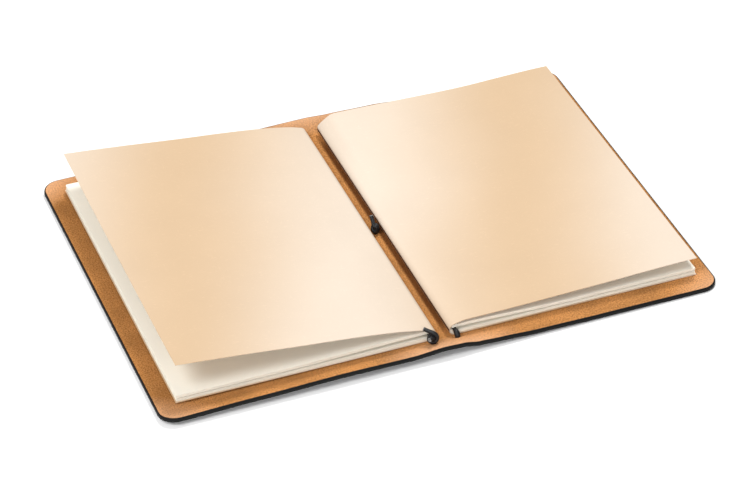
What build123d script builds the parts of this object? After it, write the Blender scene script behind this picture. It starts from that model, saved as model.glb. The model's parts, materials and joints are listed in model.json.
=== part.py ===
from build123d import *
from math import cos, radians, sin
import os

# A refillable leather sketchbook lying open and flat: one thick leather cover, two folded
# booklets with kraft covers side by side at the gutter, and black round elastic that holds them.
# Millimetres. +X runs across the open book, +Y to its back edge, +Z up. The origin is on the
# surface that the book lies on, under the middle of the cover.

# ---- leather cover ----
cover_width = 324.0
cover_depth = 237.0
leather = 2.8
corner_radius = 10.0
spine_width = 23.0  # between the two fold lines
fold_gap = 0.15  # the spine strip stops this short of each fold line
lift_start = 101.0  # the spine's ends rise over the elastic that crosses under them
lift_end = 115.5
lift_height = 4.4
hole_diameter = 3.6
punch_length = 20.0

# ---- elastic ----
elastic_diameter = 2.2
elastic_x = 7.2  # each booklet's run lies this far from the middle
elastic_z = 7.0
crossing_z = 1.2
hole_y = 109.0
bend_radius = 2.3
knotted_end_y = -107.6  # both ends of the loop finish inside the knot
knotted_end_z = 6.4
knot_centre = (-7.5, -109.4, 9.4)
knot_radius = 3.3
knot_tails = [((-0.25, 0.15, 1.0), 6.2), ((-0.3, -1.0, 0.1), 6.0)]  # direction and length
closure_hole = (0.4, 0.0)
closure_knot_centre = (0.4, 0.0, 6.0)
closure_knot_radius = 2.85
closure_diameter = 2.4
closure_tail = ((-0.03, 1.0, 0.5), 9.8)
closure_start_z = 0.1  # the cord comes up through the hole and into the knot
closure_rise = 5.4

# ---- booklets, A5 ----
booklet_depth = 210.0
booklet_back = 105.0
leaf_reach = 144.6  # from the elastic's line to the free edge; the fold takes up the rest of 148
leaves_per_half = 12
leaf_pitch = 0.14
leaf_thickness = 0.13
kraft_thickness = 0.3
first_leaf_radius = 1.25  # the innermost sheet folds round the elastic
lower_kraft_radius = 3.0
upper_kraft_radius = 3.4
rest_gap = 0.1  # between the two halves where they lie together
leaf_fold_end = 175.0  # where the lower leaves stop in the fold, in degrees about the elastic
leaf_upper_end = 136.0
kraft_lower_end = 125.0
kraft_upper_end = 150.0

# How each booklet lies: the tilt of its lower half, where its halves meet, the side on which it
# lies, and the rise of its sprung top cover, given by the direction in which it leaves the fold
# and a few points along its outer face, out from and up from the elastic.
booklets = {
    "left": {
        "side": -1,
        "tilt": 0.38,
        "meets_at": 95.0,
        "leaves_fold": 12.0,
        "cover": [(20.0, 8.0), (46.0, 11.7), (75.0, 15.0), (102.0, 18.2), (130.0, 21.2), (143.4, 22.6)],
        "end": (1.0, 0.16),
    },
    "right": {
        "side": 1,
        "tilt": -0.25,
        "meets_at": 70.0,
        "leaves_fold": 0.0,
        "cover": [(30.0, 3.95), (75.0, 5.75), (115.0, 7.0), (144.4, 7.3)],
        "end": (1.0, -0.02),
    },
}


def write(name, *solids):
    shape = solids[0] if len(solids) == 1 else Compound(children=list(solids))
    export_step(shape, f"parts/{name}.step")


def on_circle(radius, angle):
    return (radius * cos(radians(angle)), radius * sin(radians(angle)))


# ---- the cover ----
def cover_panel(side):
    """Half of the cover beyond its fold line, with its two outer corners rounded."""
    fold = spine_width / 2
    width = cover_width / 2 - fold
    panel = Pos(side * (fold + width / 2), 0, leather / 2) * Box(width, cover_depth, leather)
    corners = panel.edges().filter_by(Axis.Z).sort_by(Axis.X)
    outer = corners[-2:] if side > 0 else corners[:2]
    return fillet(outer, corner_radius)


def spine_strip():
    """The middle of the cover, raised at both ends, with its five punched holes."""
    half = cover_depth / 2
    ends = [(half, lift_height), (lift_end, lift_height), (lift_start, 0)]
    front = [(-y, z) for y, z in ends]

    def face_line(rise):
        """One face of the strip, seen from the side, from the back end to the front."""
        back = [Vector(y, z + rise) for y, z in ends]
        fore = [Vector(y, z + rise) for y, z in front]
        return [
            Line(back[0], back[1]),
            Spline(back[1], back[2], tangents=[(-1, 0), (-1, 0)]),
            Line(back[2], fore[2]),
            Spline(fore[2], fore[1], tangents=[(-1, 0), (-1, 0)]),
            Line(fore[1], fore[0]),
        ]

    rims = [Line((y, lift_height), (y, lift_height + leather)) for y in (half, -half)]
    outline = make_face(face_line(0) + face_line(leather) + rims)
    width = spine_width - 2 * fold_gap
    side_on = Plane(origin=(-width / 2, 0, 0), x_dir=(0, 1, 0), z_dir=(1, 0, 0))
    strip = extrude(side_on * outline, width)
    punches = [(x, y) for x in (-elastic_x, elastic_x) for y in (-hole_y, hole_y)] + [closure_hole]
    for x, y in punches:
        strip -= Pos(x, y, 0) * Cylinder(hole_diameter / 2, punch_length)
    return strip


# ---- the booklets ----
# A booklet's section is drawn about its elastic: X out to the free edge, Y up.
def lower_section(inner, thickness, fold_end):
    """A leaf that lies flat below the elastic and turns up round it as far as fold_end."""
    outer = inner + thickness
    turn = 270 - fold_end
    return make_face(
        [
            Line((0, -inner), (leaf_reach, -inner)),
            Line((leaf_reach, -inner), (leaf_reach, -outer)),
            Line((leaf_reach, -outer), (0, -outer)),
            CenterArc((0, 0), outer, fold_end, turn),
            Line(on_circle(outer, fold_end), on_circle(inner, fold_end)),
            CenterArc((0, 0), inner, fold_end, turn),
        ]
    )


def upper_section(inner, meets_at):
    """A leaf that comes over the elastic and sinks until its half lies on the lower half."""
    drop = 2 * first_leaf_radius - rest_gap
    edges = []
    for radius in (inner, inner + leaf_thickness):
        low = radius - drop
        edges += [
            CenterArc((0, 0), radius, 90, leaf_upper_end - 90),
            Spline((0, radius), (meets_at, low), tangents=[(1, 0), (1, 0)]),
            Line((meets_at, low), (leaf_reach, low)),
        ]
    ends = [on_circle(inner, leaf_upper_end), on_circle(inner + leaf_thickness, leaf_upper_end)]
    edge_low = inner - drop
    edges.append(Line(*ends))
    edges.append(Line((leaf_reach, edge_low), (leaf_reach, edge_low + leaf_thickness)))
    return make_face(edges)


def sprung_section(points, leaves_fold, end):
    """The top half of a kraft cover, standing off the leaves as its crease springs it open."""
    start = 90 + leaves_fold
    out = (cos(radians(leaves_fold)), sin(radians(leaves_fold)))
    edges = []
    tips = []
    for drop in (kraft_thickness, 0):
        radius = upper_kraft_radius + kraft_thickness - drop
        line = [on_circle(radius, start)] + [(x, y - drop) for x, y in points]
        edges += [
            CenterArc((0, 0), radius, start, kraft_upper_end - start),
            Spline(*line, tangents=[out, end]),
        ]
        tips.append((on_circle(radius, kraft_upper_end), line[-1]))
    for a, b in zip(*tips):
        edges.append(Line(a, b))
    return make_face(edges)


def lay(section, side, tilt=0.0):
    """Draws a section out along the booklet and lays it on its side of the gutter."""
    along = Plane(origin=(elastic_x, booklet_back, elastic_z), x_dir=(1, 0, 0), z_dir=(0, -1, 0))
    solid = along * (Rot(0, 0, tilt) * extrude(section, booklet_depth))
    return solid if side > 0 else mirror(solid, about=Plane.YZ)


# ---- the elastic ----
def elastic_loop():
    """One elastic: up the left fold, under the spine, down the right fold and back under."""
    x, y = elastic_x, hole_y
    high, low = elastic_z, crossing_z
    route = [
        (-x, knotted_end_y, high),
        (-x, y, high),
        (-x, y, low),
        (x, y, low),
        (x, y, high),
        (x, -y, high),
        (x, -y, low),
        (-x, -y, low),
        (-x, -y, knotted_end_z),
    ]
    path = FilletPolyline(*route, radius=bend_radius)
    section = Plane(origin=path @ 0, z_dir=path % 0) * Circle(elastic_diameter / 2)
    return sweep(section, path=path)


def cut_end(start, way, length, diameter):
    """A short straight cut end of elastic."""
    return Plane(origin=start, z_dir=way) * Cylinder(
        diameter / 2, length, align=(Align.CENTER, Align.CENTER, Align.MIN)
    )


def elastic_knot():
    """The knot that joins the two ends of the loop, and its two cut ends."""
    knot = Pos(*knot_centre) * Sphere(knot_radius)
    for way, length in knot_tails:
        knot += cut_end(knot_centre, way, length, elastic_diameter)
    return knot


def closure_elastic():
    """The knotted end of the closing elastic, inside the spine, with its cut end."""
    knot = Pos(*closure_knot_centre) * Sphere(closure_knot_radius)
    way, length = closure_tail
    knot += cut_end(closure_knot_centre, way, length, closure_diameter)
    knot += cut_end((*closure_hole, closure_start_z), (0, 0, 1), closure_rise, closure_diameter)
    return knot


write("left_cover_panel", cover_panel(-1))
write("right_cover_panel", cover_panel(1))
write("spine_strip", spine_strip())
for name, book in booklets.items():
    side = book["side"]
    lower = []
    upper = []
    for n in range(leaves_per_half):
        radius = first_leaf_radius + n * leaf_pitch
        lower.append(lay(lower_section(radius, leaf_thickness, leaf_fold_end), side, book["tilt"]))
        upper.append(lay(upper_section(radius, book["meets_at"]), side, book["tilt"]))
    write(f"{name}_lower_leaves", *lower)
    write(f"{name}_upper_leaves", *upper)
    back_cover = lower_section(lower_kraft_radius, kraft_thickness, kraft_lower_end)
    write(f"{name}_kraft_lower_cover", lay(back_cover, side, book["tilt"]))
    top_cover = sprung_section(book["cover"], book["leaves_fold"], book["end"])
    write(f"{name}_kraft_top_cover", lay(top_cover, side))
write("booklet_elastic", elastic_loop())
write("booklet_elastic_knot", elastic_knot())
write("closure_elastic_knot", closure_elastic())
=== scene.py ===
"""A refillable leather sketchbook lying open: leather cover, two kraft booklets and elastic."""

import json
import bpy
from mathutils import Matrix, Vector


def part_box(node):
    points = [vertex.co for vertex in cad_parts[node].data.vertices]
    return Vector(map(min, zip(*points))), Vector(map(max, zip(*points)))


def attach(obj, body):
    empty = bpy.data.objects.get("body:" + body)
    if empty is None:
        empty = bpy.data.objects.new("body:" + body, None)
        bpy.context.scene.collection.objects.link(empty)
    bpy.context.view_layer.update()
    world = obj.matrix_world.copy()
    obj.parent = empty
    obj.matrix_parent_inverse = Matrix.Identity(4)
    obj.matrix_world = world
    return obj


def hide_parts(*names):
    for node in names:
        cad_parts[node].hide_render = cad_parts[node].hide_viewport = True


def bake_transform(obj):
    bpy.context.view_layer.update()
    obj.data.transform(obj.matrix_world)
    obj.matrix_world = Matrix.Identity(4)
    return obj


bl_info = {
    "name": "Leather sketchbook",
    "version": (1, 0, 0),
    "blender": (4, 5, 0),
    "location": "3D View > Sidebar > Sketchbook",
    "description": "Builds the cover, booklets, elastic and stage of an open leather sketchbook",
    "category": "Add Mesh",
}

from math import cos, radians, sin, sqrt, tau

import bmesh
import bpy
from mathutils import Matrix, Vector

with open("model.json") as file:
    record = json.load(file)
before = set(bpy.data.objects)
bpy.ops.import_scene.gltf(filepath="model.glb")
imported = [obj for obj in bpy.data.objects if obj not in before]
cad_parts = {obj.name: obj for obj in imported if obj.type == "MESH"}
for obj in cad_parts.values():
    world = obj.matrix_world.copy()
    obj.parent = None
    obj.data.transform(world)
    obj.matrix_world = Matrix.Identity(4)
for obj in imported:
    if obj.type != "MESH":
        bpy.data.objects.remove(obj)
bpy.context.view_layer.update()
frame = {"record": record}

MM = 0.001
COVER_HIGH = Vector(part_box("right_cover_panel")[1])
LEAF_LOW, LEAF_HIGH = Vector(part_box("right_lower_leaves")[0]), Vector(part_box("right_lower_leaves")[1])
JOINTS = {joint["name"]: joint for joint in frame["record"]["behaviour"]["joints"]}
ELASTIC_X = JOINTS["right_booklet_turn"]["pos_m"][0]
ELASTIC_Z = JOINTS["right_booklet_turn"]["pos_m"][2]
SIDES = {"left": -1, "right": 1}
KRAFT_LOWER_RADIUS = 3.0 * MM
KRAFT_TOP_RADIUS = 3.4 * MM
HOLE_Y = 109.0 * MM  # of the elastic's holes at both ends of the spine


# ---- sizes and colours ----
def length_setting(name, description, default):
    return bpy.props.FloatProperty(name=name, description=description, default=default, unit="LENGTH")


def angle_setting(name, description, degrees):
    return bpy.props.FloatProperty(
        name=name, description=description, default=radians(degrees), subtype="ANGLE"
    )


def colour_setting(name, description, default):
    return bpy.props.FloatVectorProperty(
        name=name, description=description, default=default, subtype="COLOR", size=3, min=0, max=1
    )


class CoverSizes(bpy.types.PropertyGroup):
    """The leather cover."""

    thickness: length_setting("Thickness", "Thickness of the leather", COVER_HIGH.z)
    corner: length_setting("Corner radius", "Radius of the outer corners", 0.010)
    edge_round: length_setting("Edge rounding", "Rounding of the painted edge", 0.0009)
    rise: bpy.props.FloatProperty(
        name="Rise", description="How strongly the rims stand off the table", default=1.0, min=0, max=1.2
    )
    offset: length_setting(
        "Offset", "How far the outline lies to the left of the booklets' middle", 1.2 * MM
    )
    flesh_colour: colour_setting("Flesh side", "Colour of the suede inside", (0.53, 0.236, 0.072))
    grain_colour: colour_setting(
        "Grain side", "Colour of the outside and of the painted edge", (0.006, 0.006, 0.006)
    )


class BookletSizes(bpy.types.PropertyGroup):
    """The two kraft booklets."""

    leaves: bpy.props.IntProperty(
        name="Leaves in each half", description="Number of leaves above and below the elastic", default=12
    )
    pitch: length_setting("Leaf pitch", "Distance from one leaf to the next", 0.14 * MM)
    leaf: length_setting("Leaf thickness", "Thickness of one leaf", 0.115 * MM)
    kraft: length_setting("Kraft thickness", "Thickness of the kraft cover", 0.3 * MM)
    first_radius: length_setting("First fold", "Fold radius of the innermost sheet", 1.25 * MM)
    reach: length_setting(
        "Reach", "From the elastic to the booklet's free edge", LEAF_HIGH.x - ELASTIC_X
    )
    seed: bpy.props.IntProperty(
        name="Seed", description="Seed for the small unevenness of the leaves", default=7
    )
    kraft_colour: colour_setting("Kraft", "Colour of the kraft covers", (0.585, 0.42, 0.265))
    # the kraft's lighter bands are painted sheen, a reflection of the lamps put into the card's colour
    kraft_painted_sheen_colour: colour_setting(
        "Kraft, light bands", "Colour of the card's smoother, lighter bands", (0.70, 0.595, 0.49)
    )
    paper_colour: colour_setting("Paper", "Colour of the drawing paper", (0.91, 0.885, 0.79))


class ElasticSizes(bpy.types.PropertyGroup):
    """The elastic of the booklets and of the closing loop."""

    diameter: length_setting("Diameter", "Diameter of the loop and of the closing elastic", 2.2 * MM)
    knot_diameter: length_setting("Slack diameter", "Diameter of the loop's ends in its knot", 2.3 * MM)
    colour: colour_setting("Elastic", "Colour of the elastic's woven cover", (0.006, 0.006, 0.007))


class StageSettings(bpy.types.PropertyGroup):
    """The camera."""

    azimuth: angle_setting("Azimuth", "Camera's turn about the book", -19.92)
    elevation: angle_setting("Elevation", "Camera's height angle", 36.48)
    roll: angle_setting("Roll", "Camera's roll", -1.45)
    distance: length_setting("Distance", "Camera's distance", 1.744)
    lens: bpy.props.FloatProperty(
        name="Lens", description="Focal length in millimetres on a 36 mm wide sensor", default=147.98
    )
    aim: bpy.props.FloatVectorProperty(
        name="Aim", description="The point that the camera looks at", size=3,
        default=(-0.0036, -0.0109, 0), subtype="TRANSLATION",
    )


class SketchbookSettings(bpy.types.PropertyGroup):
    """Everything a user would change."""

    cover: bpy.props.PointerProperty(type=CoverSizes)
    booklet: bpy.props.PointerProperty(type=BookletSizes)
    elastic: bpy.props.PointerProperty(type=ElasticSizes)
    stage: bpy.props.PointerProperty(type=StageSettings)


# ---- small helpers ----
def clamp(value, low=0.0, high=1.0):
    return max(low, min(high, value))


def smooth(value):
    """0 to 1 with level ends."""
    t = clamp(value)
    return t * t * (3 - 2 * t)


def new_object(name, data):
    obj = bpy.data.objects.new(name, data)
    bpy.context.scene.collection.objects.link(obj)
    return obj


def shade_smooth(mesh, sharp_deg=35.0):
    mesh.polygons.foreach_set("use_smooth", [True] * len(mesh.polygons))
    mesh.set_sharp_from_angle(angle=radians(sharp_deg))


def object_from(name, verts, faces, uvs=None, materials=(), sharp_deg=35.0):
    """A mesh object at the origin, smooth shaded except at sharp edges."""
    mesh = bpy.data.meshes.new(name)
    mesh.from_pydata(verts, [], faces)
    if uvs:
        layer = mesh.uv_layers.new(name="UVMap")
        for loop in mesh.loops:
            layer.data[loop.index].uv = uvs[loop.vertex_index]
    for material in materials:
        mesh.materials.append(material)
    shade_smooth(mesh, sharp_deg)
    mesh.validate()
    return new_object(name, mesh)


def bake_modifiers(obj):
    """Replaces the object's mesh with the evaluated one and removes its modifiers."""
    graph = bpy.context.evaluated_depsgraph_get()
    mesh = bpy.data.meshes.new_from_object(obj.evaluated_get(graph))
    mesh.name = obj.name
    old = obj.data
    obj.modifiers.clear()
    obj.data = mesh
    bpy.data.meshes.remove(old)


def spread(start, end, count):
    return [start + (end - start) * n / count for n in range(count + 1)]


# ---- shader groups ----
class Nodes:
    """Short calls for building a node tree."""

    def __init__(self, tree):
        self.tree = tree

    def add(self, kind, inputs=None, **values):
        """A new node, with its inputs given by name or by place."""
        node = self.tree.nodes.new(kind)
        for key, value in values.items():
            setattr(node, key, value)
        for key, value in (inputs or {}).items():
            self.give(node.inputs[key], value)
        return node

    def link(self, a, b):
        self.tree.links.new(a, b)

    def give(self, socket, value):
        """Links a socket to another one, or sets its own value."""
        if isinstance(value, bpy.types.NodeSocket):
            self.link(value, socket)
        elif socket.type == "RGBA":
            socket.default_value = (*value[:3], 1)
        else:
            socket.default_value = value

    def math(self, operation, *values):
        return self.add("ShaderNodeMath", dict(enumerate(values)), operation=operation).outputs[0]

    def plus(self, a, b):
        return self.math("ADD", a, b)

    def times(self, product, *others):
        for value in others:
            product = self.math("MULTIPLY", product, value)
        return product

    def split(self, vector):
        """The x, y and z of a vector."""
        return self.add("ShaderNodeSeparateXYZ", {0: vector}).outputs

    def noise(self, vector, scale, detail=4.0, roughness=0.55):
        inputs = {"Vector": vector, "Scale": scale, "Detail": detail, "Roughness": roughness}
        return self.add("ShaderNodeTexNoise", inputs).outputs["Fac"]

    def mapping(self, vector, **values):
        return self.add("ShaderNodeMapping", {"Vector": vector, **values}).outputs["Vector"]

    def ramp(self, value, stops):
        node = self.add("ShaderNodeValToRGB")
        ramp = node.color_ramp
        while len(ramp.elements) < len(stops):
            ramp.elements.new(0.5)
        for element, (place, shade) in zip(ramp.elements, stops):
            element.position = place
            element.color = (shade, shade, shade, 1)
        self.link(value, node.inputs["Fac"])
        return node.outputs["Color"]

    def mix(self, factor, a, b):
        return self.add("ShaderNodeMix", {0: factor, 6: a, 7: b}, data_type="RGBA").outputs[2]


def group_tree(kind, name, inputs, outputs):
    """A new node group. Each input and output has a name, a kind and perhaps a default."""
    tree = bpy.data.node_groups.new(name, kind)
    for way, rows in (("INPUT", inputs), ("OUTPUT", outputs)):
        for label, value_kind, *default in rows:
            socket = tree.interface.new_socket(
                label, in_out=way, socket_type="NodeSocket" + value_kind
            )
            if default:
                socket.default_value = default[0]
    nodes = Nodes(tree)
    return nodes, nodes.add("NodeGroupInput"), nodes.add("NodeGroupOutput")


def fibre_group():
    """Paper and card: soft clouding, and short fibres lying every way."""
    nodes, given, out = group_tree(
        "ShaderNodeTree", "Fibres",
        [("Vector", "Vector"), ("Colour", "Color"), ("Flecks", "Float", 0.15), ("Clouding", "Float", 0.06)],
        [("Colour", "Color"), ("Height", "Float")],
    )
    place = given.outputs["Vector"]
    cloud = nodes.noise(place, 28.0, 3.0)
    first = nodes.noise(nodes.mapping(place, Scale=(260, 1500, 900)), 1.0, 3.0, 0.6)
    second = nodes.noise(nodes.mapping(place, Scale=(1500, 300, 900)), 1.0, 3.0, 0.6)
    lengthwise = nodes.ramp(first, [(0.60, 0), (0.76, 1)])
    crosswise = nodes.ramp(second, [(0.62, 0), (0.78, 1)])
    flecks = nodes.math("MAXIMUM", lengthwise, crosswise)
    clouding = nodes.times(nodes.math("SUBTRACT", cloud, 0.5), given.outputs["Clouding"])
    value = nodes.plus(nodes.times(flecks, given.outputs["Flecks"]), clouding)
    tone = nodes.add(
        "ShaderNodeHueSaturation", {"Color": given.outputs["Colour"], "Value": nodes.plus(value, 1.0)}
    )
    nodes.link(tone.outputs["Color"], out.inputs["Colour"])
    tooth = nodes.noise(place, 2600.0, 3.0, 0.6)
    nodes.link(nodes.plus(nodes.times(tooth, 0.7), nodes.times(flecks, 0.3)), out.inputs["Height"])
    return out.id_data


def grain_group():
    """Leather: cells of grain at a given scale, and a soft mottling."""
    nodes, given, out = group_tree(
        "ShaderNodeTree", "Leather grain",
        [("Vector", "Vector"), ("Scale", "Float", 900.0)],
        [("Cells", "Float"), ("Mottle", "Float"), ("Specks", "Float")],
    )
    place = given.outputs["Vector"]
    warp = nodes.add("ShaderNodeTexNoise", {"Vector": place, "Scale": 320.0})
    bent = nodes.add(
        "ShaderNodeVectorMath", {0: warp.outputs["Color"], 1: (0.0011, 0.0011, 0.0011), 2: place},
        operation="MULTIPLY_ADD",
    )
    cells = nodes.add(
        "ShaderNodeTexVoronoi", {"Vector": bent.outputs[0], "Scale": given.outputs["Scale"]}, feature="F1"
    )
    nodes.link(cells.outputs["Distance"], out.inputs["Cells"])
    nodes.link(nodes.noise(place, 38.0, 4.0), out.inputs["Mottle"])
    nodes.link(nodes.noise(place, 1250.0, 4.0, 0.62), out.inputs["Specks"])
    return out.id_data


def new_material(name, roughness=0.6, specular=0.5):
    material = bpy.data.materials.new(name)
    material.use_nodes = True
    tree = material.node_tree
    shader = tree.nodes["Principled BSDF"]
    shader.inputs["Roughness"].default_value = roughness
    shader.inputs["Specular IOR Level"].default_value = specular
    return material, Nodes(tree), shader


def bump(nodes, shader, height, distance, strength=1.0):
    node = nodes.add("ShaderNodeBump", {"Distance": distance, "Strength": strength, "Height": height})
    nodes.link(node.outputs["Normal"], shader.inputs["Normal"])


def use_group(nodes, tree, vector, **values):
    return nodes.add("ShaderNodeGroup", {"Vector": vector, **values}, node_tree=tree)


def flat_map(nodes):
    """The piece's own flat map in metres, which bends with the leather."""
    return nodes.add("ShaderNodeUVMap", uv_map="UVMap").outputs["UV"]


# ---- materials ----
SHEEN_BAND_WIDTH = 0.195  # of one light and one darker band of painted sheen on the kraft card
SHEEN_BAND_ANGLE = radians(20)
CREASE_SHADE_X = 4.0 * MM  # where the painted shade on the right kraft cover's crease ends
GUTTER_SHADE_X = 8.0 * MM  # where the painted shade on the suede beside it ends
THREADS = 7  # round the elastic, each way
THREAD_PITCH = 1.1 * MM


def shade(colour, times, plus=0.0):
    """A colour made lighter or darker, kept within range."""
    return tuple(clamp(c * times + plus) for c in colour)


def suede_material(colour, grain):
    """The flesh side of the leather: short nap, fine dark specks, uneven tan, and painted shade in the
    gutter and along the left margin.
    """
    material, nodes, shader = new_material("suede_flesh_side", 0.92, 0.12)
    group = use_group(nodes, grain, flat_map(nodes), Scale=1500.0)
    mottle, specks = group.outputs["Mottle"], group.outputs["Specks"]
    uneven = nodes.ramp(mottle, [(0.35, 0), (0.65, 1)])
    base = nodes.mix(uneven, shade(colour, 0.76), shade(colour, 1.18))
    dark_specks = nodes.ramp(specks, [(0.40, 1), (0.50, 0)])
    light_specks = nodes.times(nodes.ramp(specks, [(0.55, 0), (0.64, 1)]), 0.9)
    speckled = nodes.mix(dark_specks, base, shade(colour, 0.42))
    fresh = nodes.mix(light_specks, speckled, shade(colour, 1.2, 0.025))
    # painted shade: the suede is darkened beside the right booklet's crease, where the gutter lies in
    # shadow
    x, y, _ = nodes.split(flat_map(nodes))
    near = nodes.times(x, 1 / GUTTER_SHADE_X)
    beside = nodes.ramp(near, [(0.22, 0), (0.40, 1), (0.85, 1), (1.0, 0)])
    away = nodes.math("DIVIDE", nodes.math("ABSOLUTE", y), LEAF_HIGH.y)
    gutter_shade = nodes.times(beside, nodes.ramp(away, [(0.86, 1), (0.99, 0)]), 0.75)
    gutter_shaded = nodes.mix(gutter_shade, fresh, tuple(c * c * 0.3 for c in colour))
    # the corners and the ends of the spine are paler
    out = nodes.math("DIVIDE", nodes.math("ABSOLUTE", x), COVER_HIGH.x)
    end = nodes.math("DIVIDE", nodes.math("ABSOLUTE", y), COVER_HIGH.y)
    corner = nodes.ramp(nodes.times(out, end), [(0.78, 0), (0.96, 1)])
    middle = nodes.ramp(out, [(0.10, 1), (0.26, 0)])
    spine_end = nodes.times(nodes.ramp(end, [(0.88, 0), (0.98, 1)]), middle)
    paler = nodes.times(nodes.math("MAXIMUM", corner, spine_end), 0.36)
    # painted shade: the left margin is darker
    margin = nodes.ramp(nodes.times(x, -1 / COVER_HIGH.x), [(0.86, 0), (0.93, 1)])
    margin_shade = nodes.times(margin, nodes.math("SUBTRACT", 1.0, corner), 0.36)
    browner = tuple(c * 0.5 * share for c, share in zip(colour, (1.05, 0.95, 0.75)))
    darker = nodes.mix(margin_shade, gutter_shaded, browner)
    nodes.link(nodes.mix(paler, darker, shade(colour, 1.1, 0.27)), shader.inputs["Base Color"])
    height = nodes.plus(nodes.times(specks, 0.7), nodes.times(group.outputs["Cells"], 0.4))
    bump(nodes, shader, height, 0.00022, 0.7)
    return material


def grain_material(colour, grain):
    """The black grain side and the painted edge."""
    material, nodes, shader = new_material("black_grain_side", 0.5, 0.12)
    group = use_group(nodes, grain, flat_map(nodes), Scale=750.0)
    mottle = group.outputs["Mottle"]
    paler = nodes.times(nodes.ramp(mottle, [(0.45, 0), (0.8, 1)]), 0.2)
    nodes.link(nodes.mix(paler, tuple(colour), (0.03, 0.028, 0.026)), shader.inputs["Base Color"])
    nodes.link(nodes.plus(nodes.times(mottle, 0.25), 0.36), shader.inputs["Roughness"])
    bump(nodes, shader, group.outputs["Cells"], 0.00018, 0.6)
    return material


def kraft_material(colour, light, fibres):
    """Smooth pale kraft card: soft broad bands of painted sheen, painted shade on the crease, and faint
    flecks.
    """
    material, nodes, shader = new_material("kraft_card", 0.6, 0.3)
    place = nodes.add("ShaderNodeTexCoord").outputs["Object"]
    turned = nodes.mapping(place, Location=(0.012, 0, 0), Rotation=(0, 0, SHEEN_BAND_ANGLE))
    drift = nodes.times(nodes.math("SUBTRACT", nodes.noise(place, 9.0, 1.0), 0.5), 0.03)
    turn = nodes.times(nodes.plus(nodes.split(turned)[0], drift), tau / SHEEN_BAND_WIDTH)
    # painted sheen: broad soft bands between the card's colour and the lighter colour
    sheen_band = nodes.plus(nodes.times(nodes.math("COSINE", turn), 0.5), 0.5)
    base = nodes.mix(sheen_band, tuple(colour), tuple(light))
    # painted shade: the side of the crease that faces the gutter is darkened
    x = nodes.split(place)[0]
    crease = nodes.times(nodes.math("LESS_THAN", x, CREASE_SHADE_X), nodes.math("GREATER_THAN", x, 0.0))
    base = nodes.mix(crease, base, tuple(c**4 * 0.5 for c in colour))
    group = use_group(nodes, fibres, place, Colour=base, Flecks=0.10, Clouding=0.08)
    nodes.link(group.outputs["Colour"], shader.inputs["Base Color"])
    bump(nodes, shader, group.outputs["Height"], 0.00004, 0.5)
    return material


def paper_material(colour, fibres):
    """Cream drawing paper with a little tooth."""
    material, nodes, shader = new_material("drawing_paper", 0.85, 0.2)
    place = nodes.add("ShaderNodeTexCoord").outputs["Object"]
    group = use_group(nodes, fibres, place, Colour=tuple(colour), Flecks=0.04, Clouding=0.05)
    nodes.link(group.outputs["Colour"], shader.inputs["Base Color"])
    bump(nodes, shader, group.outputs["Height"], 0.00005, 0.5)
    return material


def elastic_material(colour):
    """Black woven cover of round elastic: threads that cross on the diagonal."""
    material, nodes, shader = new_material("woven_elastic", 0.42, 0.34)
    along, around, _ = nodes.split(flat_map(nodes))
    turns = nodes.times(around, THREADS * tau)
    lay = nodes.times(along, tau / THREAD_PITCH)
    one = nodes.math("SINE", nodes.plus(lay, turns))
    two = nodes.math("SINE", nodes.math("SUBTRACT", lay, turns))
    weave = nodes.plus(nodes.times(one, two, 0.5), 0.5)
    threads = nodes.mix(weave, shade(colour, 0.45), shade(colour, 2.2))
    nodes.link(threads, shader.inputs["Base Color"])
    bump(nodes, shader, weave, 0.0001, 0.8)
    return material


def cut_end_material():
    """The pale rubber threads seen at a cut end of the elastic."""
    material, nodes, shader = new_material("elastic_cut_end", 0.8, 0.3)
    place = nodes.add("ShaderNodeTexCoord").outputs["Object"]
    dots = nodes.add("ShaderNodeTexVoronoi", {"Vector": place, "Scale": 2200.0}, feature="F1")
    distance = dots.outputs["Distance"]
    thread = nodes.ramp(distance, [(0.35, 1), (0.6, 0)])
    rubber = nodes.mix(thread, (0.08, 0.08, 0.08), (0.30, 0.29, 0.28))
    nodes.link(rubber, shader.inputs["Base Color"])
    bump(nodes, shader, distance, 0.0001, 0.5)
    return material


def materials_of(settings):
    """Makes each material once."""
    made = bpy.data.materials
    if "suede_flesh_side" not in made:
        grain, fibres = grain_group(), fibre_group()
        suede_material(settings.cover.flesh_colour, grain)
        grain_material(settings.cover.grain_colour, grain)
        kraft_material(settings.booklet.kraft_colour, settings.booklet.kraft_painted_sheen_colour, fibres)
        paper_material(settings.booklet.paper_colour, fibres)
        elastic_material(settings.elastic.colour)
        cut_end_material()
    return made


# ---- leather cover ----
BOOKLET_TILT = {"left": radians(0.38), "right": radians(-0.25)}
LOWER_DEPTH = 3.3 * MM  # from the elastic down to the underside of a booklet


def booklet_underside(side, x):
    """Height of a booklet's underside above the table at x."""
    out = max(abs(x) - ELASTIC_X, 0)
    return ELASTIC_Z - LOWER_DEPTH + out * sin(BOOKLET_TILT[side])


COVER_DEPTH = 0.237
RISE_START, RISE_LENGTH = 0.1010, 0.0165  # where the front and back rims begin to rise
MARGIN_START, MARGIN_LENGTH = 0.134, 0.026  # where the left margin begins to rise
MARGIN_RISE, MARGIN_FRONT = 0.5 * MM, 0.7 * MM  # at the back, and how much more at the front
NEAR_SPINE, NEAR_MARGIN, NEAR_RIM = 0.024, 0.140, 0.090  # where the net's spacing changes
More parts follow.
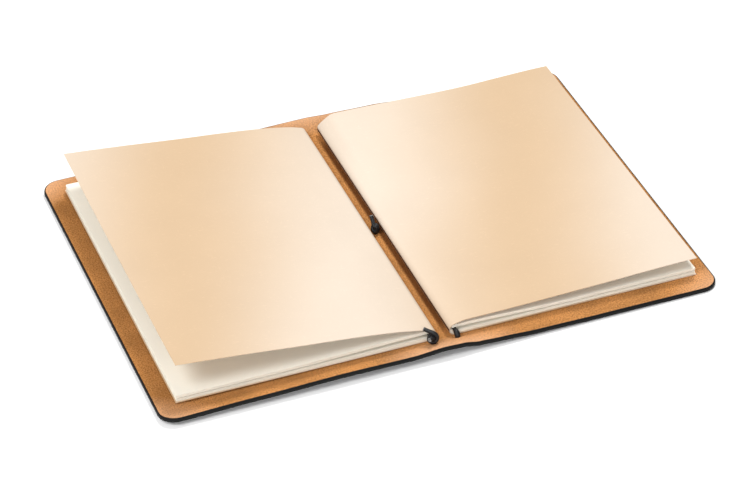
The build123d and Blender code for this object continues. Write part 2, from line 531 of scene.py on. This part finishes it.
# How far the front and back rims stand off the table, across the open cover, in millimetres. The
# spine's ends ride over the crossing elastic, and the left half is sprung.
FRONT_RISE = [(-162, 2.3), (-110, 3.2), (-60, 4.0), (-22, 3.5), (-3, 4.7), (7, 4.3), (17, 2.7), (29, 2.0),
              (52, 0.9), (90, 0.4), (162, 0.0)]
BACK_RISE = [(-162, 0.9), (-120, 1.2), (-70, 3.0), (-36, 4.6), (0, 5.1), (15, 4.4), (42, 3.8), (62, 2.6),
             (100, 1.0), (162, 0.0)]


def read_rise(points, x):
    """Reads a rise at x along a smooth line through the given points."""
    for (x0, z0), (x1, z1) in zip(points, points[1:]):
        if x <= x1:
            return (z0 + (z1 - z0) * smooth((x - x0) / (x1 - x0))) * MM
    return points[-1][1] * MM


def cover_lift(sizes, x, y):
    """How far the cover's underside stands off the table."""
    side = "left" if x < 0 else "right"
    rim = BACK_RISE if y > 0 else FRONT_RISE
    end = read_rise(rim, x / MM) * smooth((abs(y) - RISE_START) / RISE_LENGTH)
    # the left half's outer margin, which stands higher toward the front
    margin = 0.0
    if x < 0:
        high = MARGIN_RISE + MARGIN_FRONT * smooth(0.5 - y / COVER_DEPTH)
        margin = high * smooth((-x - MARGIN_START) / MARGIN_LENGTH)
    wanted = (end**4 + margin**4) ** 0.25 * sizes.rise
    # under a booklet the cover can only rise as far as the booklet lets it
    room = booklet_underside(side, x) - sizes.thickness - 0.08 * MM
    inside = min(LEAF_HIGH.x + 0.5 * MM - abs(x), y - LEAF_LOW.y + 0.5 * MM, LEAF_HIGH.y + 0.5 * MM - y)
    if abs(x) > 3.2 * MM:
        near = smooth(-inside / (5 * MM))
        wanted = min(wanted, max(room, 0)) * (1 - near) + wanted * near
    return wanted


def cover_grid(edge):
    """Lines of the cover's net across one half and along it, closer together where it bends."""
    across = spread(0, NEAR_SPINE, 24) + spread(NEAR_SPINE, NEAR_MARGIN, 29)[1:]
    across += spread(NEAR_MARGIN, edge, 20)[1:]
    half = spread(0, NEAR_RIM, 30) + spread(NEAR_RIM, COVER_HIGH.y, 30)[1:]
    along = [-y for y in reversed(half[1:])] + half
    return across, along


def round_corner(x, y, edge, radius):
    """Moves a point of a square corner onto concentric arcs of a round one."""
    cx, cy = edge - radius, COVER_HIGH.y - radius
    dx, dy = x - cx, abs(y) - cy
    if dx <= 0 or dy <= 0:
        return x, y
    size = max(dx, dy) / sqrt(dx * dx + dy * dy)
    return cx + dx * size, (cy + dy * size) * (1 if y > 0 else -1)


def cover_half(settings, name, sign):
    """Half of the leather from the middle of the spine out, with a rounded, painted edge."""
    sizes = settings.cover
    edge = COVER_HIGH.x - sign * sizes.offset
    across, along = cover_grid(edge)
    nx, ny = len(across), len(along)
    # levels of the edge: how far in from the outline, and the height as a share of the thickness
    inset, depth = sizes.edge_round, sizes.edge_round / sizes.thickness
    turns = [radians(a) for a in (0, 30, 60, 90)]
    rims = [(inset * (1 - sin(a)), 1 - depth * (1 - cos(a))) for a in turns]
    rims += [(inset * (1 - sin(a)), depth * (1 - cos(a))) for a in reversed(turns)]
    verts, uvs, faces = [], [], []

    def place(x, y, share, pull=0.0):
        fx, fy = round_corner(x, y, edge, sizes.corner)
        if pull:
            ox, oy = outward(x, y, sizes.corner)
            fx, fy = fx - ox * pull, fy - oy * pull
        low = cover_lift(sizes, sign * fx, fy)
        verts.append((sign * fx, fy, low + sizes.thickness * share))
        uvs.append((sign * fx, fy))
        return len(verts) - 1

    def outward(x, y, radius):
        cx, cy = edge - radius, COVER_HIGH.y - radius
        dx, dy = max(x - cx, 0), max(abs(y) - cy, 0)
        edge_x, edge_y = abs(x - edge) < 1e-6, abs(abs(y) - COVER_HIGH.y) < 1e-6
        if dx > 0 and dy > 0:
            length = sqrt(dx * dx + dy * dy)
            return dx / length, dy / length * (1 if y > 0 else -1)
        return (1.0 if edge_x else 0.0), ((1.0 if y > 0 else -1.0) if edge_y else 0.0)

    def on_rim(i, j):
        return i == nx - 1 or j in (0, ny - 1)

    top, bottom = {}, {}
    for i, x in enumerate(across):
        for j, y in enumerate(along):
            pull = inset if on_rim(i, j) else 0.0
            top[i, j] = place(x, y, 1.0, pull)
            bottom[i, j] = place(x, y, 0.0, pull)
    kinds = []  # 0 on the flesh side and 1 on the rest
    for i in range(nx - 1):
        for j in range(ny - 1):
            quad = [top[i, j], top[i + 1, j], top[i + 1, j + 1], top[i, j + 1]]
            under = [bottom[i, j], bottom[i, j + 1], bottom[i + 1, j + 1], bottom[i + 1, j]]
            faces += [quad, under]
            kinds += [0, 1]
    # the rim runs from the middle at the front, round the outside, to the middle at the back
    walk = [(i, 0) for i in range(nx)] + [(nx - 1, j) for j in range(1, ny)]
    walk += [(i, ny - 1) for i in range(nx - 2, -1, -1)]
    columns = []
    for i, j in walk:
        inner = [place(across[i], along[j], share, pull) for pull, share in rims[1:-1]]
        columns.append([top[i, j]] + inner + [bottom[i, j]])
    for a, b in zip(columns, columns[1:]):
        for k in range(len(a) - 1):
            faces.append([a[k], a[k + 1], b[k + 1], b[k]])
            kinds.append(1)
    # the cut in the middle of the spine, which closes the half
    cap = [top[0, j] for j in range(ny)] + columns[-1][1:-1] + [bottom[0, j] for j in reversed(range(ny))]
    cap += list(reversed(columns[0][1:-1]))
    faces.append(list(reversed(cap)))
    kinds.append(1)
    if sign < 0:
        faces = [list(reversed(face)) for face in faces]
    made = materials_of(settings)
    obj = object_from(name, verts, faces, uvs, (made["suede_flesh_side"], made["black_grain_side"]), 60)
    obj.data.polygons.foreach_set("material_index", kinds)
    return obj


class SKETCHBOOK_OT_cover(bpy.types.Operator):
    """Make the leather cover in two halves that meet in the middle of the spine."""

    bl_idname = "sketchbook.cover"
    bl_label = "Leather cover"

    def execute(self, context):
        settings = context.scene.sketchbook
        left = cover_half(settings, "leather_cover_left", -1)
        right = cover_half(settings, "leather_cover_right", 1)
        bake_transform(left)
        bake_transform(right)
        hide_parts("left_cover_panel", "spine_strip")
        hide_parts("right_cover_panel")
        return {"FINISHED"}


# ---- booklets ----
# Outer face of each sprung kraft cover, out from and up from the elastic.
COVER_LINE = {
    "left": [(20.0, 8.0), (46.0, 11.7), (75.0, 15.0), (102.0, 18.2), (130.0, 21.2), (143.4, 22.6)],
    "right": [(30.0, 3.95), (75.0, 5.75), (115.0, 7.0), (144.4, 7.3)],
}
COVER_LEAVES_FOLD = {"left": radians(12), "right": 0.0}
COVER_END = {"left": 0.16, "right": -0.02}
BULGE = {"left": (0.8 * MM, 0.3 * MM), "right": (5.0 * MM, 1.6 * MM)}  # at the back and at the front
HALVES_MEET = {"left": 95 * MM, "right": 70 * MM}
REST_GAP = 0.6 * MM  # between the two halves of a booklet
TRIM = 0.6 * MM  # the leaves stop this short of the kraft
# Where each sheet's end lies in the fold, as an angle about the elastic.
KRAFT_LOWER_END, KRAFT_TOP_END = radians(125), radians(150)
LEAF_UPPER_END, LEAF_LOWER_END = radians(136), radians(176)
FREE_EDGE = 0.1  # a leaf's unevenness shows only farther out than this


def hermite(points, slopes, step):
    """A smooth line through points that always moves out, with its slope given at each."""
    line = [points[0]]
    for (a, b), (m, n) in zip(zip(points, points[1:]), zip(slopes, slopes[1:])):
        width = b[0] - a[0]
        count = max(2, int(width / step))
        for k in range(1, count + 1):
            t = k / count
            up = (
                (2 * t**3 - 3 * t**2 + 1) * a[1]
                + (t**3 - 2 * t**2 + t) * width * m
                + (-2 * t**3 + 3 * t**2) * b[1]
                + (t**3 - t**2) * width * n
            )
            line.append((a[0] + width * t, up))
    return line


def line_slopes(points, first, last):
    inner = [(c[1] - a[1]) / (c[0] - a[0]) for a, c in zip(points, points[2:])]
    return [first] + inner + [last]


def arc(radius, start, end, count):
    return [(radius * cos(a), radius * sin(a)) for a in spread(start, end, count)]


def laid(side, out, up, tilt=0.0):
    """From a booklet's section to x and z."""
    c, s = cos(tilt), sin(tilt)
    return SIDES[side] * (ELASTIC_X + out * c - up * s), ELASTIC_Z + out * s + up * c


def drawn_out(outer, inner, rows, flip):
    """The closed ring of a section, and the faces of that ring drawn out in rows and capped."""
    ring = outer + list(reversed(inner))
    count = len(ring)
    faces = []
    for row in range(rows):
        for k in range(count):
            a, b = row * count + k, row * count + (k + 1) % count
            faces.append([a, b, b + count, a + count])
    for base in (0, rows * count):
        for k in range(len(outer) - 1):
            quad = [base + k, base + k + 1, base + count - 2 - k, base + count - 1 - k]
            faces.append(quad if base else list(reversed(quad)))
    if flip:
        faces = [list(reversed(face)) for face in faces]
    return ring, faces


def sheet_solid(name, side, outer, inner, tilt, materials, shape=None, rows=60):
    """A folded sheet drawn out along the booklet, from its outer and inner lines."""
    ring, faces = drawn_out(outer, inner, rows, SIDES[side] > 0)
    verts = []
    for y in spread(LEAF_LOW.y, LEAF_HIGH.y, rows):
        for out, up in ring:
            if shape:
                out, up = shape(out, up, y)
            x, z = laid(side, out, up, tilt)
            verts.append((x, y, z))
    return object_from(name, verts, faces, [(x, y) for x, y, _ in verts], materials)


def kraft_lower(settings, side):
    """The half of the kraft cover that lies on the leather, with the fold round the elastic."""
    book = settings.booklet
    lines = []
    for radius in (KRAFT_LOWER_RADIUS + book.kraft, KRAFT_LOWER_RADIUS):
        fold = arc(radius, KRAFT_LOWER_END, radians(270), 24)
        lines.append(fold + [(out, -radius) for out in spread(0, book.reach, 40)[1:]])
    return sheet_solid(
        f"{side}_booklet_kraft_back", side, lines[0], lines[1], BOOKLET_TILT[side],
        (materials_of(settings)["kraft_card"],), rows=8,
    )


def bulge(side, out, y):
    """The card stands up beside its crease, most at the ends, and settles farther out."""
    at_back, at_front = BULGE[side]
    amount = at_back * smooth(y / LEAF_HIGH.y) + at_front * smooth(-y / LEAF_HIGH.y)
    return amount * smooth((out + 3.4 * MM) / (10 * MM)) * (1 - smooth((out - 8 * MM) / (92 * MM)))


def kraft_top(settings, side):
    """The sprung half of the kraft cover."""
    book = settings.booklet
    start = radians(90) + COVER_LEAVES_FOLD[side]
    points = [(out * MM, up * MM) for out, up in COVER_LINE[side]]
    lines = []
    for drop in (0.0, book.kraft):
        radius = KRAFT_TOP_RADIUS + book.kraft - drop
        through = [(radius * cos(start), radius * sin(start))] + [(out, up - drop) for out, up in points]
        slopes = line_slopes(through, COVER_LEAVES_FOLD[side], COVER_END[side])
        fold = arc(radius, KRAFT_TOP_END, start, 12)
        lines.append(fold + hermite(through, slopes, 2.5 * MM)[1:])

    def shape(out, up, y):
        """The card is never quite flat: its free corners turn up a little."""
        far = smooth(out / book.reach)
        end = abs(y - (LEAF_LOW.y + LEAF_HIGH.y) / 2) / 0.105
        wave = 0.25 * MM * sin(y / 0.055 + 1.3 * SIDES[side]) * far
        return out, up + wave + 0.5 * MM * far * end**3 + bulge(side, out, y)

    return sheet_solid(
        f"{side}_booklet_kraft_top", side, lines[0], lines[1], 0.0,
        (materials_of(settings)["kraft_card"],), shape,
    )


def leaf_stack_tree():
    """Repeats one leaf through half a booklet. Each next leaf folds round the last one."""
    nodes, given, out = group_tree(
        "GeometryNodeTree", "Leaf stack",
        [
            ("Geometry", "Geometry"), ("Leaves", "Int"), ("Pitch", "Float"), ("Side", "Float"),
            ("First radius", "Float"), ("Unevenness", "Float"), ("Seed", "Int"), ("Material", "Material"),
        ],
        [("Geometry", "Geometry")],
    )
    one = nodes.add("GeometryNodeGeometryToInstance", {0: given.outputs["Geometry"]})
    copies = nodes.add(
        "GeometryNodeDuplicateElements",
        {"Geometry": one.outputs[0], "Amount": given.outputs["Leaves"]}, domain="INSTANCE",
    )
    numbered = {
        "Geometry": copies.outputs["Geometry"], "Name": "leaf", "Value": copies.outputs["Duplicate Index"],
    }
    stored = nodes.add(
        "GeometryNodeStoreNamedAttribute", numbered, data_type="FLOAT", domain="INSTANCE"
    )
    real = nodes.add("GeometryNodeRealizeInstances", {0: stored.outputs["Geometry"]})
    leaf = nodes.add("GeometryNodeInputNamedAttribute", {"Name": "leaf"}, data_type="FLOAT")
    number = leaf.outputs["Attribute"]
    # the place in the section, read about the elastic's line
    reach_out, y, up = nodes.split(nodes.add("GeometryNodeInputPosition").outputs[0])
    step = nodes.times(number, given.outputs["Pitch"])
    grow = nodes.plus(nodes.math("DIVIDE", step, given.outputs["First radius"]), 1.0)
    in_fold = nodes.math("LESS_THAN", reach_out, 0.0)
    beyond = nodes.math("SUBTRACT", 1.0, in_fold)
    shift = nodes.times(step, given.outputs["Side"])

    def choose(a, b):
        """a in the fold and b beyond it."""
        return nodes.plus(nodes.times(a, in_fold), nodes.times(b, beyond))

    # each leaf's free edge and ends stand a hair in or out of line
    chance = nodes.add("FunctionNodeRandomValue", data_type="FLOAT")
    chance.inputs["Min"].default_value = -1.0
    chance.inputs["Max"].default_value = 1.0
    nodes.link(number, chance.inputs["ID"])
    nodes.link(given.outputs["Seed"], chance.inputs["Seed"])
    offset = nodes.times(chance.outputs["Value"], given.outputs["Unevenness"])
    far = nodes.math("GREATER_THAN", reach_out, FREE_EDGE)
    new_x = choose(nodes.times(reach_out, grow), nodes.plus(reach_out, nodes.times(offset, far)))
    new_z = choose(nodes.times(up, grow), nodes.plus(up, shift))
    new_y = nodes.plus(y, nodes.times(offset, 0.5))
    joined = nodes.add("ShaderNodeCombineXYZ", {0: new_x, 1: new_y, 2: new_z})
    moved = nodes.add(
        "GeometryNodeSetPosition", {"Geometry": real.outputs[0], "Position": joined.outputs[0]}
    )
    again = nodes.add("GeometryNodeRealizeInstances", {0: moved.outputs[0]})
    painted = nodes.add(
        "GeometryNodeSetMaterial", {"Geometry": again.outputs[0], "Material": given.outputs["Material"]}
    )
    nodes.link(painted.outputs[0], out.inputs[0])
    return nodes.tree


def set_input(modifier, tree, label, value):
    """Sets a modifier's input by its socket's identifier."""
    for item in tree.interface.items_tree:
        if item.item_type == "SOCKET" and item.in_out == "INPUT" and item.name == label:
            modifier[item.identifier] = value


def leaf_stack(settings, side, upper, tree):
    """The leaves of one half of a booklet, made from one leaf."""
    book = settings.booklet
    radius, leaf, reach = book.first_radius, book.leaf, book.reach - TRIM
    lines = []
    for r in (radius, radius + leaf):
        if upper:
            drop = 2 * radius - REST_GAP
            meet = HALVES_MEET[side]
            fall = hermite([(0, r), (meet, r - drop)], [0, 0], 4 * MM)
            flat = [(out, r - drop) for out in spread(meet, reach, 8)[1:]]
            lines.append(arc(r, LEAF_UPPER_END, radians(90), 8) + fall[1:] + flat)
        else:
            flat = [(out, -r) for out in spread(0, reach, 16)[1:]]
            lines.append(arc(r, LEAF_LOWER_END, radians(270), 14) + flat)
    inner, outer = lines
    rows = 4
    ring, faces = drawn_out(outer, inner, rows, upper)
    ys = spread(LEAF_LOW.y + TRIM, LEAF_HIGH.y - TRIM, rows)
    verts = [(out, y, up) for y in ys for out, up in ring]
    half = "upper" if upper else "lower"
    obj = object_from(f"{side}_booklet_{half}_leaves", verts, faces)
    modifier = obj.modifiers.new("Leaf stack", "NODES")
    modifier.node_group = tree
    set_input(modifier, tree, "Leaves", book.leaves)
    set_input(modifier, tree, "Pitch", book.pitch)
    set_input(modifier, tree, "Side", 1.0 if upper else -1.0)
    set_input(modifier, tree, "First radius", radius + leaf / 2)
    set_input(modifier, tree, "Unevenness", 0.12 * MM)
    set_input(modifier, tree, "Seed", book.seed + SIDES[side] + (10 if upper else 0))
    set_input(modifier, tree, "Material", materials_of(settings)["drawing_paper"])
    bake_modifiers(obj)
    mesh = obj.data
    for vertex in mesh.vertices:
        x, z = laid(side, vertex.co.x, vertex.co.z, BOOKLET_TILT[side])
        vertex.co = (x, vertex.co.y, z)
    if SIDES[side] < 0:
        mesh.flip_normals()
    shade_smooth(mesh)
    mesh.update()
    return obj


class SKETCHBOOK_OT_kraft_covers(bpy.types.Operator):
    """Make the kraft covers of both booklets."""

    bl_idname = "sketchbook.kraft_covers"
    bl_label = "Kraft covers"

    def execute(self, context):
        settings = context.scene.sketchbook
        for side in SIDES:
            back = kraft_lower(settings, side)
            top = kraft_top(settings, side)
            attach(back, f"{side}_booklet")
            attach(top, f"{side}_kraft_top")
            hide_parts(f"{side}_kraft_lower_cover")
            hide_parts(f"{side}_kraft_top_cover")
        return {"FINISHED"}


class SKETCHBOOK_OT_leaves(bpy.types.Operator):
    """Make the drawing leaves of both booklets."""

    bl_idname = "sketchbook.leaves"
    bl_label = "Leaves"

    def execute(self, context):
        settings = context.scene.sketchbook
        tree = leaf_stack_tree()
        for side in SIDES:
            for upper in (False, True):
                stack = leaf_stack(settings, side, upper, tree)
                half = "upper" if upper else "lower"
                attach(stack, f"{side}_pages" if upper else f"{side}_booklet")
                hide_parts(f"{side}_{half}_leaves")
        return {"FINISHED"}


# ---- elastic ----
def rounded_path(points, radius, step):
    """Straight runs joined by arcs, as points along the way."""
    points = [Vector(p) for p in points]
    path = [points[0]]
    for before, corner, after in zip(points, points[1:], points[2:]):
        back, on = (before - corner).normalized(), (after - corner).normalized()
        angle = back.angle(on)
        cut = radius / (sin(angle / 2) / cos(angle / 2))
        start, end = corner + back * cut, corner + on * cut
        centre = corner + (back + on).normalized() * (radius / sin(angle / 2))
        a, b = start - centre, end - centre
        sweep = a.angle(b)
        count = max(4, int(sweep * radius / step))
        for k in range(count + 1):
            t = k / count
            path.append(centre + (a * sin((1 - t) * sweep) + b * sin(t * sweep)) / sin(sweep))
    path.append(points[-1])
    return path


def even_steps(path, step):
    """The same path with points about a step apart."""
    result = [path[0]]
    for a, b in zip(path, path[1:]):
        count = max(1, round((b - a).length / step))
        result += [a.lerp(b, k / count) for k in range(1, count + 1)]
    return result


DOME_LEVELS = (80, 55, 30)  # the rings of an end, in degrees round its dome
CUT_BULGE, ROUND_BULGE = 0.22, 0.7  # how far an end stands out, as a share of the radius


def tube(name, path, radius, materials, cut_ends=(False, False), sides=20, swell=None):
    """A round cord along a path, with a map along and around it. Ends are domed or cut flat.

    swell gives the radius as a share of the usual one at a point."""
    frames = []
    tangent = (path[1] - path[0]).normalized()
    normal = tangent.orthogonal().normalized()
    for k, point in enumerate(path):
        ahead = path[min(k + 1, len(path) - 1)] - path[max(k - 1, 0)]
        new = ahead.normalized()
        turn = tangent.rotation_difference(new)
        normal = (turn @ normal).normalized()
        normal = (normal - new * normal.dot(new)).normalized()
        tangent = new
        frames.append((point, tangent, normal))
    lengths = [0.0]
    for a, b in zip(path, path[1:]):
        lengths.append(lengths[-1] + (b - a).length)
    rings = []  # centre, tangent, normal, radius, length

    def dome(index, way):
        point, tan, nor = frames[index]
        levels = []
        bulge = CUT_BULGE if cut_ends[0 if way < 0 else 1] else ROUND_BULGE
        for a in (radians(degrees) for degrees in DOME_LEVELS):
            centre = point + tan * way * radius * bulge * sin(a)
            levels.append((centre, tan, nor, radius * cos(a) + radius * 0.02, lengths[index]))
        return levels

    rings += dome(0, -1)
    rings += [(p, t, n, radius * (swell(p) if swell else 1), l) for (p, t, n), l in zip(frames, lengths)]
    rings += list(reversed(dome(len(path) - 1, 1)))
    verts, uvs, faces, kinds = [], [], [], []
    columns = sides + 1
    for point, tan, nor, r, length in rings:
        side = tan.cross(nor)
        for k in range(columns):
            a = tau * k / sides
            verts.append(point + (nor * cos(a) + side * sin(a)) * r)
            uvs.append((length, k / sides))
    last = len(rings) - 1
    for ring in range(last):
        for k in range(sides):
            a, b = ring * columns + k, ring * columns + k + 1
            faces.append([a, b, b + columns, a + columns])
            at_start = ring <= len(DOME_LEVELS) and cut_ends[0]
            at_end = ring >= last - len(DOME_LEVELS) - 1 and cut_ends[1]
            kinds.append(1 if at_start or at_end else 0)
    faces.append(list(reversed(range(sides))))
    kinds.append(1 if cut_ends[0] else 0)
    faces.append([last * columns + k for k in range(sides)])
    kinds.append(1 if cut_ends[1] else 0)
    obj = object_from(name, verts, faces, uvs, materials, 50)
    obj.data.polygons.foreach_set("material_index", kinds)
    weld_seam(obj)
    return obj


def weld_seam(obj):
    """Joins the first and last columns of a tube. The map keeps its seam."""
    work = bmesh.new()
    work.from_mesh(obj.data)
    bmesh.ops.remove_doubles(work, verts=work.verts, dist=1e-7)
    bmesh.ops.recalc_face_normals(work, faces=work.faces)
    work.to_mesh(obj.data)
    work.free()


def curve_through(points, step):
    """A smooth curve through points, in even steps."""
    points = [Vector(p) for p in points]
    ends = [points[0] * 2 - points[1]] + points + [points[-1] * 2 - points[-2]]
    line = [points[0]]
    for a, b, c, d in zip(ends, ends[1:], ends[2:], ends[3:]):
        count = max(2, round((c - b).length / step))
        for k in range(1, count + 1):
            t = k / count
            square, cube = 2 * a - 5 * b + 4 * c - d, 3 * b - a - 3 * c + d
            line.append(0.5 * ((2 * b) + (c - a) * t + square * t**2 + cube * t**3))
    return line


BUNCH_Y, BUNCH_Z, BUNCH_SHARE = 0.1045, 0.0035, 0.45  # where the elastic swells, and by how much


def bunched(point):
    """The elastic swells where it leaves a booklet and turns down into its hole."""
    beyond = smooth((abs(point.y) - BUNCH_Y) / 0.003) * smooth((point.z - BUNCH_Z) / 0.002)
    return 1 + BUNCH_SHARE * beyond


CROSSING_Z = 1.2 * MM  # of the runs under the spine
LOOP_BEND = 2.3 * MM
KNOTTED_END_Y, KNOTTED_END_Z = -107.6 * MM, 6.4 * MM  # both ends of the loop finish in the knot
# The line of each knot about its middle, in millimetres.
KNOT_MIDDLE = Vector((-7.5, -109.4, 9.4)) * MM
KNOT_LINE = [
    (-4.0, 2.9, 4.6), (-2.3, 1.0, 4.2), (-0.3, -0.9, 3.7), (1.4, -1.8, 2.4), (1.8, -2.0, -0.1),
    (0.5, -1.9, -2.0), (-1.2, -0.8, -2.4), (-1.9, 0.7, -1.7), (-0.8, 1.9, -0.2), (0.8, 1.6, 0.8),
    (2.2, 0.4, 0.3), (1.6, -0.9, -0.8), (-0.3, -1.3, -0.8), (-0.2, -1.4, 1.2), (-1.7, -2.6, 1.4),
    (-3.4, -3.7, 1.5),
]
CLOSING_MIDDLE = Vector((0.7, 0.0, 6.0)) * MM
CLOSING_LINE = [
    (0.1, 0.1, -5.0), (0.0, -0.3, -3.0), (0.6, -1.6, -1.4), (1.3, -0.9, 0.8), (0.7, 0.4, 1.9),
    (-1.0, 0.7, 1.1), (-1.6, -0.4, -0.5), (-1.0, -1.6, -1.1), (0.1, -1.9, 0.3), (0.1, -1.5, 1.9),
    (-0.9, -0.7, 2.0), (-0.7, 1.0, 3.0), (-0.5, 2.7, 4.2), (-0.4, 4.6, 5.9),
]


def elastic_materials(settings):
    made = materials_of(settings)
    return made["woven_elastic"], made["elastic_cut_end"]


def tied_end(settings, name, line, middle, diameter, cut_ends):
    """A knotted end of elastic, along a line given in millimetres about its middle."""
    path = curve_through([Vector(point) * MM + middle for point in line], 0.35 * MM)
    return tube(name, path, diameter / 2, elastic_materials(settings), cut_ends)


class SKETCHBOOK_OT_elastic(bpy.types.Operator):
    """Make the elastic that holds both booklets, with its knot."""

    bl_idname = "sketchbook.elastic"
    bl_label = "Booklet elastic"

    def execute(self, context):
        settings = context.scene.sketchbook
        sizes = settings.elastic
        x, y, high, low = ELASTIC_X, HOLE_Y, ELASTIC_Z, CROSSING_Z
        route = [
            (-x, KNOTTED_END_Y, high), (-x, y, high), (-x, y, low), (x, y, low), (x, y, high),
            (x, -y, high), (x, -y, low), (-x, -y, low), (-x, -y, KNOTTED_END_Z),
        ]
        path = even_steps(rounded_path(route, LOOP_BEND, 0.4 * MM), 2.5 * MM)
        materials = elastic_materials(settings)
        loop = tube("booklet_elastic_loop", path, sizes.diameter / 2, materials, swell=bunched)
        knot = tied_end(
            settings, "booklet_elastic_ends", KNOT_LINE, KNOT_MIDDLE, sizes.knot_diameter, (True, True)
        )
        for piece, node in ((loop, "booklet_elastic"), (knot, "booklet_elastic_knot")):
            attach(piece, "spine")
            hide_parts(node)
        return {"FINISHED"}


class SKETCHBOOK_OT_closing_knot(bpy.types.Operator):
    """Make the knotted end of the closing elastic."""

    bl_idname = "sketchbook.closing_knot"
    bl_label = "Closing elastic's knot"

    def execute(self, context):
        settings = context.scene.sketchbook
        knot = tied_end(
            settings, "closing_elastic_end", CLOSING_LINE, CLOSING_MIDDLE, settings.elastic.diameter,
            (False, True),
        )
        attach(knot, "spine")
        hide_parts("closure_elastic_knot")
        return {"FINISHED"}


# ---- stage ----
FLOOR_HALF = 12.0
WORLD_STRENGTH = 0.32
# Name, place, aim, size, watts and colour.
LIGHTS = (
    ("key", (0.44, 0.50, 1.42), (0, 0, 0), (0.42, 0.42), 16.5, (1.0, 0.985, 0.96)),
    ("fill", (-0.95, -0.50, 1.30), (-0.05, 0, 0), (0.7, 0.7), 15.0, (1, 1, 1)),
    ("front", (-0.42, -1.40, 0.80), (0, 0, 0), (0.9, 0.4), 9.0, (1, 1, 1)),
)


def area_light(name, place, aim, size, power, colour):
    lamp = bpy.data.lights.new(name, "AREA")
    lamp.shape = "RECTANGLE"
    lamp.size, lamp.size_y = size
    lamp.energy = power
    lamp.color = colour
    obj = new_object(name, lamp)
    obj.location = place
    way = Vector(aim) - Vector(place)
    obj.rotation_euler = way.to_track_quat("-Z", "Y").to_euler()


def set_camera(stage):
    camera = bpy.data.cameras.new("camera")
    camera.lens = stage.lens
    camera.sensor_width = 36.0
    camera.clip_start = 0.05
    camera.clip_end = 20.0
    obj = new_object("camera", camera)
    az, el = stage.azimuth, stage.elevation
    back = Vector((sin(az) * cos(el), -cos(az) * cos(el), sin(el)))
    right = (-back).cross(Vector((0, 0, 1))).normalized()
    up = right.cross(-back).normalized()
    turn = Matrix.Identity(3)
    turn.col[0] = right * cos(stage.roll) + up * sin(stage.roll)
    turn.col[1] = up * cos(stage.roll) - right * sin(stage.roll)
    turn.col[2] = back
    obj.matrix_world = Matrix.Translation(Vector(stage.aim) + back * stage.distance) @ turn.to_4x4()
    bpy.context.scene.camera = obj


def floor_material():
    material, _, shader = new_material("pale_floor", 0.9, 0.1)
    shader.inputs["Base Color"].default_value = (0.97, 0.97, 0.97, 1)
    return material


class SKETCHBOOK_OT_stage(bpy.types.Operator):
    """Make the floor, the light and the camera."""

    bl_idname = "sketchbook.stage"
    bl_label = "Stage"

    def execute(self, context):
        scene = context.scene
        corners = [(FLOOR_HALF * x, FLOOR_HALF * y, 0) for x, y in ((-1, -1), (1, -1), (1, 1), (-1, 1))]
        floor = object_from("floor", corners, [[0, 1, 2, 3]], materials=(floor_material(),))
        world = bpy.data.worlds.new("studio")
        world.use_nodes = True
        background = world.node_tree.nodes["Background"]
        background.inputs["Color"].default_value = (1, 1, 1, 1)
        background.inputs["Strength"].default_value = WORLD_STRENGTH
        scene.world = world
        for light in LIGHTS:
            area_light(*light)
        set_camera(scene.sketchbook.stage)
        scene.view_settings.view_transform = "Standard"
        scene.view_settings.look = "None"
        return {"FINISHED"}


# ---- panel and registration ----
OPERATORS = (
    SKETCHBOOK_OT_stage,
    SKETCHBOOK_OT_cover,
    SKETCHBOOK_OT_kraft_covers,
    SKETCHBOOK_OT_leaves,
    SKETCHBOOK_OT_elastic,
    SKETCHBOOK_OT_closing_knot,
)


class SKETCHBOOK_PT_panel(bpy.types.Panel):
    """Lists the settings and the pieces."""

    bl_idname = "SKETCHBOOK_PT_panel"
    bl_label = "Sketchbook"
    bl_space_type = "VIEW_3D"
    bl_region_type = "UI"
    bl_category = "Sketchbook"

    def draw(self, context):
        settings = context.scene.sketchbook
        for group in (settings.cover, settings.booklet, settings.elastic, settings.stage):
            box = self.layout.box()
            for key in group.bl_rna.properties.keys():
                if key not in ("rna_type", "name"):
                    box.prop(group, key)
        for operator in OPERATORS:
            self.layout.operator(operator.bl_idname)


CLASSES = (
    CoverSizes, BookletSizes, ElasticSizes, StageSettings, SketchbookSettings, *OPERATORS,
    SKETCHBOOK_PT_panel,
)


def register():
    for item in CLASSES:
        bpy.utils.register_class(item)
    bpy.types.Scene.sketchbook = bpy.props.PointerProperty(type=SketchbookSettings)


def unregister():
    del bpy.types.Scene.sketchbook
    for item in reversed(CLASSES):
        bpy.utils.unregister_class(item)


def main():
    register()
    bpy.ops.sketchbook.stage()
    bpy.ops.sketchbook.cover()
    bpy.ops.sketchbook.kraft_covers()
    bpy.ops.sketchbook.leaves()
    bpy.ops.sketchbook.elastic()
    bpy.ops.sketchbook.closing_knot()


if __name__ == "__main__":
    main()
